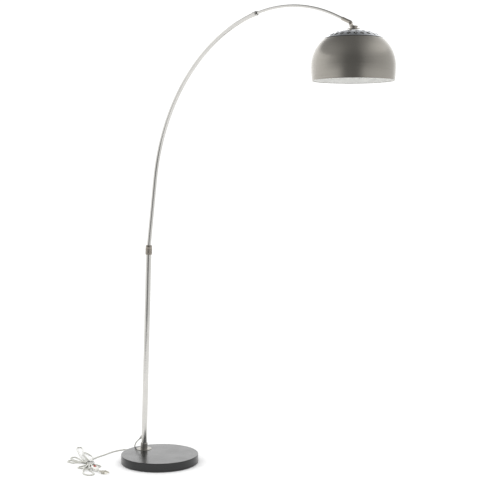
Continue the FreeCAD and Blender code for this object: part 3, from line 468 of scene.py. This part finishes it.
def make_tie():
    """Twisted wire tie: a flat band round the strands with two wound ends."""
    low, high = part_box("cord_tie")
    place = Matrix.Translation(((low[0] + high[0]) / 2, (low[1] + high[1]) / 2, 0)) @ Matrix.Rotation(
        math.radians(150), 4, "Z")
    half_width, height, round_radius, half_band = 0.0148, high[2] - low[2], 0.0045, 0.0028
    columns, vertices, rings = 4, [], []
    corners = [(half_width, height), (-half_width, height), (-half_width, 0.0002), (half_width, 0.0002)]
    for corner, (y, z) in enumerate(corners):
        for step in range(7):
            turn = math.radians(90 * (corner + step / 6))
            cy = y - math.copysign(round_radius, y)
            cz = z - round_radius if z > 0.005 else z + round_radius
            rings.append((cy, cz, turn))
    for cy, cz, turn in rings:
        for thick, side in ((0.0, -1), (0.0, 1), (-0.0009, 1), (-0.0009, -1)):
            reach = round_radius + thick
            vertices.append((side * half_band, cy + reach * math.cos(turn), cz + reach * math.sin(turn)))
    tie = add_piece("wire_tie", vertices, ring_faces(len(rings), columns, True), "dark_plastic", "base",
                    "cord_tie",
                    place=place)
    twist = []
    for strand in (0, 1):
        for step in range(25):
            along = step / 24
            turn = math.tau * 3 * along + math.pi * strand
            twist.append((strand, Vector((0.001 * math.cos(turn), 0.001 * math.sin(turn), -0.011 * along))))
    twist_place = place @ Matrix.Translation((0.003, 0.004, height + 0.0006)) @ Matrix.Rotation(
        math.radians(-82), 4, "Y")
    for strand in (0, 1):
        path = [point for owner, point in twist if owner == strand]
        vertices = []
        for point in path:
            for column in range(6):
                turn = math.tau * column / 6
                vertices.append(point + Vector((0.0007 * math.cos(turn), 0.0007 * math.sin(turn), 0)))
        add_piece("tie_end_%d" % strand, vertices, ring_faces(len(path), 6) + caps(len(path), 6),
                  "dark_plastic",
                  "base", place=twist_place)
    return tie


# ------------------------------------------------------------------ switch and plug
def loft(stations, columns=48, power=3.2):
    """Rounded sections along +X: (x, half width, lowest, highest)."""
    vertices = []
    for x, half_width, low, high in stations:
        for column in range(columns):
            turn = math.tau * column / columns
            c, s = math.cos(turn), math.sin(turn)
            y = math.copysign(abs(c) ** (2 / power), c) * half_width
            z = math.copysign(abs(s) ** (2 / power), s) * (high - low) / 2
            vertices.append((x, y, (low + high) / 2 + z))
    return vertices, ring_faces(len(stations), columns) + caps(len(stations), columns)


def upright_frame(node, turn_degrees, start=None):
    low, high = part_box(node)
    centre = start or ((low[0] + high[0]) / 2, (low[1] + high[1]) / 2, 0)
    return Matrix.Translation(centre) @ Matrix.Rotation(math.radians(turn_degrees), 4, "Z")


SWITCH_HALF_LENGTH = 0.022
SWITCH_TURN = -16.8
PLUG_LENGTH = 0.024
PLUG_TURN = 14
PLUG_HEIGHT = 0.0066


def make_switch():
    """In-line switch: a rounded shell with a groove round its waist, a framed rocker and ribbed ends."""
    place = upright_frame("switch_lower", SWITCH_TURN)
    stations = []
    for step in range(41):
        along = -1 + step / 20
        belly = max(1 - abs(along) ** 5, 0.0) ** 0.5
        stations.append((SWITCH_HALF_LENGTH * along, 0.0045 + 0.0065 * belly, 0.0036 - 0.0035 * belly,
                         0.0116 + 0.0034 * belly))
    shell = add_piece("switch_shell", *loft(stations), "white_plastic", "base", "switch_lower",
                      "switch_upper",
                      place=place)
    cutter = bmesh.new()
    bmesh.ops.create_cube(cutter, size=1.0, matrix=Matrix.Diagonal((0.018, 0.0094, 0.012, 1)))
    mesh = bpy.data.meshes.new("window")
    for vertex in cutter.verts:
        vertex.co = place @ (vertex.co + Vector((0, 0, 0.0135)))
    cutter.to_mesh(mesh)
    cutter.free()
    window = bpy.data.objects.new("window", mesh)
    scene.collection.objects.link(window)
    cut = shell.modifiers.new("window", "BOOLEAN")
    cut.object = window
    cut.solver = "EXACT"
    bpy.context.view_layer.update()
    solid = bpy.data.meshes.new_from_object(shell.evaluated_get(bpy.context.evaluated_depsgraph_get()))
    shell.modifiers.clear()
    shell.data = solid
    bpy.data.objects.remove(window)

    edge = [(station[0] * 1.004, station[1] + 0.00012) for station in stations[1:-1]]
    outline = edge + [(x, -y) for x, y in reversed(edge)]
    vertices, faces = [], []
    for x, y in outline:
        for z in (0.0073, 0.0078):
            for grow in (0.97, 1.0):
                vertices.append((x * grow, y * grow, z))
    order = (0, 1, 3, 2)
    for ring in range(len(outline)):
        beside = (ring + 1) % len(outline)
        for k in range(4):
            a, b = order[k], order[(k + 1) % 4]
            faces.append((4 * ring + a, 4 * ring + b, 4 * beside + b, 4 * beside + a))
    add_piece("switch_seam", vertices, faces, "dark_plastic", "base", place=place)
    for name, way in (("switch_relief_in", -1), ("switch_relief_out", 1)):
        make_ribbed_end(name, place @ Matrix.Translation((way * 0.0205, 0, 0.0076)) @ Matrix.Rotation(
            math.radians(90 * way), 4, "Y"), name)


def make_ribbed_end(name, place, node):
    columns, rows, vertices = 32, 25, []
    for row in range(rows):
        along = row / (rows - 1)
        radius = 0.0042 - 0.0012 * along - (0.0005 if row % 6 in (3, 4) else 0.0)
        for column in range(columns):
            turn = math.tau * column / columns
            vertices.append((radius * math.cos(turn), radius * math.sin(turn), 0.0075 * along))
    add_piece(name + "_ribs", vertices, ring_faces(rows, columns) + caps(rows, columns), "white_plastic",
              "base", node,
              place=place)


def make_plug():
    """Moulded two-blade plug with grip ridges on its flanks."""
    start = Vector(PLUG_LEAD[-1])
    place = upright_frame("plug_body", PLUG_TURN, (start.x, start.y, 0))
    stations = []
    for step in range(49):
        along = step / 48
        swell = min(max((along - 0.18) / 0.42, 0), 1)
        swell = swell * swell * (3 - 2 * swell)
        ridge = 0.0005 if 0.22 < along < 0.62 and step % 4 < 2 else 0.0
        end = 0.0012 if along > 0.985 else 0.0
        half_width = 0.0038 + 0.0068 * swell - ridge - end
        half_height = 0.0036 + 0.0026 * swell - ridge - end
        stations.append((PLUG_LENGTH * along, half_width, PLUG_HEIGHT - half_height,
                         PLUG_HEIGHT + half_height))
    return add_piece("plug_moulding", *loft(stations, 48, 3.6), "beige_plastic", "base", "plug_body",
                     place=place)


# ------------------------------------------------------------------ clamp ring
RING_BOTTOM = 0.787
RING_TOP = 0.824
RING_RADIUS = 0.0129
GROOVE_RADIUS = 0.0124
KNURL_DEPTH = 0.0005
KNURL_PITCH = 0.0022
KNURL_COUNT = 30


def make_clamp_ring():
    """Knurled ring with a plain cone at its mouth."""
    foot = Vector(frame["joints"][0]["pos_m"])
    axis = Vector(frame["joints"][0]["axis"]).normalized()
    bottom, top = RING_BOTTOM, RING_TOP
    outline = [(0.01108, bottom), (0.0121, bottom), (RING_RADIUS, bottom + 0.0008),
               (RING_RADIUS, bottom + 0.0022),
               (GROOVE_RADIUS, bottom + 0.0026), (GROOVE_RADIUS, bottom + 0.0034),
               (RING_RADIUS, bottom + 0.0038)]
    knurl_low, knurl_high = bottom + 0.0045, top - 0.0135
    knurl_rows = 40
    for row in range(knurl_rows + 1):
        outline.append((RING_RADIUS, knurl_low + (knurl_high - knurl_low) * row / knurl_rows))
    outline += [(RING_RADIUS, top - 0.0128), (GROOVE_RADIUS, top - 0.0124), (GROOVE_RADIUS, top - 0.0116),
                (RING_RADIUS, top - 0.0112), (0.0126, top - 0.006), (0.0121, top - 0.0006), (0.0116, top),
                (0.0109, top), (0.0087, top - 0.003), (0.0087, top - 0.005)]
    columns, vertices = 180, []
    for radius, height in outline:
        knurled = knurl_low <= height <= knurl_high
        for column in range(columns):
            turn = math.tau * column / columns
            reach = radius
            if knurled:
                rise = (height - knurl_low) / KNURL_PITCH * math.pi
                crest = abs(math.sin(turn * KNURL_COUNT + rise)) * abs(math.sin(turn * KNURL_COUNT - rise))
                reach -= KNURL_DEPTH * (1 - crest)
            vertices.append((reach * math.cos(turn), reach * math.sin(turn), height))
    add_piece("clamp_ring_knurled", vertices, ring_faces(len(outline), columns), "knurled_nickel",
              "clamp_ring",
              "lock_ring", place=axis_frame(foot, axis))


# ------------------------------------------------------------------ shade
RIM_RADIUS = 0.1326
BEAD_RADIUS = 0.00105
BEAD_LIFT = 0.001


def make_rim_bead():
    """Rolled edge round the shade's mouth."""
    low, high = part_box("shade_dome")
    centre = Vector(((low[0] + high[0]) / 2, 0, low[2] + BEAD_LIFT))
    columns, rows, vertices = 12, 240, []
    for row in range(rows):
        turn = math.tau * row / rows
        for column in range(columns):
            angle = math.tau * column / columns
            reach = RIM_RADIUS + BEAD_RADIUS * math.cos(angle)
            vertices.append((reach * math.cos(turn), reach * math.sin(turn), BEAD_LIFT * math.sin(angle)))
    add_piece("shade_rim_bead", vertices, ring_faces(rows, columns, True), "brushed_shade", "shade",
              place=Matrix.Translation(centre))


THREAD_ROOT = 0.0179
THREAD_CREST = 0.0187
THREAD_PITCH = 0.0025
THREAD_START = 0.011


def make_holder_thread():
    """Outer thread on the lamp holder, below its clamping ring."""
    low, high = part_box("lamp_holder")
    centre = Vector(((low[0] + high[0]) / 2, 0, 0))
    columns, turns, vertices = 64, 6, []
    rows = turns * columns
    for row in range(rows + 1):
        turn = math.tau * row / columns
        z = low[2] + THREAD_START + THREAD_PITCH * row / columns
        for reach, rise in ((THREAD_ROOT, -0.0009), (THREAD_CREST, 0.0), (THREAD_ROOT, 0.0009)):
            vertices.append((reach * math.cos(turn), reach * math.sin(turn), z + rise))
    faces = []
    for row in range(rows):
        for side in (0, 1):
            a = 3 * row + side
            faces.append((a, a + 1, a + 4, a + 3))
    add_piece("holder_thread", vertices, faces, "porcelain", "shade", place=Matrix.Translation(centre))


# ------------------------------------------------------------------ room
# Brightness round the room, in degrees to the right of the way from the lamp to the photographer: below
# level, just above it, and higher.
VIEWER_HEADING = math.radians(43.4)
LOW_WALLS = [(-180, 1.0), (-150, 0.6), (-70, 0.5), (-48, 0.42), (-30, 0.11), (8, 0.09), (26, 0.36),
             (60, 0.43),
             (150, 0.5), (180, 1.0)]
WALLS = [(-180, 0.85), (-155, 0.8), (-128, 0.62), (-116, 0.6), (-89, 0.5), (-67, 0.32), (-47, 0.2),
         (-25, 0.09), (12, 0.085),
         (29, 0.21), (60, 0.32), (81, 0.36), (128, 0.46), (155, 0.75), (180, 0.85)]
HIGH_WALLS = [(-180, 0.4), (-150, 0.28), (-89, 0.28), (-67, 0.24), (-47, 0.18), (-25, 0.09), (12, 0.085),
              (29, 0.21), (60, 0.32), (81, 0.42), (116, 0.6), (150, 0.6), (180, 0.4)]
# Brightness overhead, from the left side to the right.
CEILING = [(0.1, 0.26), (0.35, 0.13), (0.55, 0.11), (0.7, 0.24), (0.9, 0.62)]
ROOM_STRENGTH = 2.1
FLOOR_RADIUS = 1.8


def make_floor():
    work = bmesh.new()
    bmesh.ops.create_circle(work, cap_ends=True, segments=128, radius=FLOOR_RADIUS,
                            matrix=Matrix.Translation((0.3, 0, 0)))
    mesh = bpy.data.meshes.new("floor")
    work.to_mesh(mesh)
    work.free()
    floor = bpy.data.objects.new("floor", mesh)
    scene.collection.objects.link(floor)
    paint = Paint("floor", (0.93, 0.93, 0.93), 0.9, Specular_IOR_Level=0.1)
    paint.colour(paint.noise(3, 2), (0.3, (0.92, 0.92, 0.92)), (0.7, (0.94, 0.94, 0.94)))
    mesh.materials.append(paint.material)


def make_light(name, place, target, size, power):
    data = bpy.data.lights.new(name, "AREA")
    data.shape = "RECTANGLE"
    data.size, data.size_y = size
    data.energy = power
    light = bpy.data.objects.new(name, data)
    light.location = place
    light.rotation_euler = (Vector(target) - Vector(place)).to_track_quat("-Z", "Y").to_euler()
    light.visible_glossy = False
    scene.collection.objects.link(light)


def make_world():
    """A white studio. Gloss also finds the grey room round the viewer, so that metal has a dark middle."""
    world = bpy.data.worlds.new("studio")
    world.use_nodes = True
    scene.world = world
    tree = world.node_tree

    def node(kind, **inputs):
        made = tree.nodes.new(kind)
        for socket, value in inputs.items():
            made.inputs[socket.replace("_", " ")].default_value = value
        return made

    def ramp(source, *stops):
        made = node("ShaderNodeValToRGB")
        elements = made.color_ramp.elements
        while len(elements) < len(stops):
            elements.new(0.5)
        for element, (position, level) in zip(elements, stops):
            element.position = position
            element.color = (level, level, level, 1)
        tree.links.new(source, made.inputs["Fac"])
        return made.outputs["Color"]

    place = node("ShaderNodeTexCoord").outputs["Generated"]
    turned = node("ShaderNodeMapping", Rotation=(0, 0, VIEWER_HEADING))
    tree.links.new(place, turned.inputs["Vector"])
    sweep = tree.nodes.new("ShaderNodeTexGradient")
    sweep.gradient_type = "RADIAL"
    tree.links.new(turned.outputs["Vector"], sweep.inputs["Vector"])
    split = node("ShaderNodeSeparateXYZ")
    tree.links.new(turned.outputs["Vector"], split.inputs[0])
    side = node("ShaderNodeMapRange", From_Min=-1, From_Max=1)
    tree.links.new(split.outputs["Y"], side.inputs["Value"])
    layers = [ramp(sweep.outputs["Fac"], *[(0.5 + degrees / 360, level) for degrees, level in walls])
              for walls in (LOW_WALLS, WALLS, HIGH_WALLS)]
    layers.append(ramp(side.outputs["Result"], *CEILING))

    def change(start, stop, below, above):
        """The colour turns from one to the other between two heights of the way that is looked."""
        height = node("ShaderNodeMapRange", From_Min=start, From_Max=stop)
        tree.links.new(split.outputs["Z"], height.inputs["Value"])
        mix = tree.nodes.new("ShaderNodeMix")
        mix.data_type = "RGBA"
        fac, low, high = (next(socket for socket in mix.inputs if socket.identifier == name)
                          for name in ("Factor_Float", "A_Color", "B_Color"))
        tree.links.new(height.outputs["Result"], fac)
        tree.links.new(below, low)
        tree.links.new(above, high)
        return next(socket for socket in mix.outputs if socket.identifier == "Result_Color")

    room = change(-0.02, 0.04, layers[0], layers[1])
    room = change(0.42, 0.5, room, layers[2])
    room = change(0.45, 0.85, room, layers[3])
    reflected = node("ShaderNodeBackground", Strength=ROOM_STRENGTH)
    tree.links.new(room, reflected.inputs["Color"])
    plain = tree.nodes["Background"]
    plain.inputs["Color"].default_value = (1, 1, 1, 1)
    plain.inputs["Strength"].default_value = 1.12
    path = node("ShaderNodeLightPath")
    either = node("ShaderNodeMixShader")
    tree.links.new(path.outputs["Is Glossy Ray"], either.inputs[0])
    tree.links.new(plain.outputs[0], either.inputs[1])
    tree.links.new(reflected.outputs[0], either.inputs[2])
    tree.links.new(either.outputs[0], tree.nodes["World Output"].inputs["Surface"])
    scene.view_settings.view_transform = "Standard"


make_camera()
cord = make_cord()
paint_nodes()
soften(0.0004, "switch_rocker", "plug_blades", "foot_nut", "nipple_nut", "tilt_nut", "foot_washer",
       "tilt_stem")
gland = make_gland()
tie = make_tie()
make_switch()
make_plug()
make_clamp_ring()
make_rim_bead()
make_holder_thread()
make_floor()
make_world()
make_light("key", (-1.5, -3.5, 3.2), (0.3, 0, 0.8), (2.5, 2.5), 25)
make_light("top", (0.5, 0.5, 4.5), (0.5, 0, 0), (3, 3), 20)

bpy.context.view_layer.update()
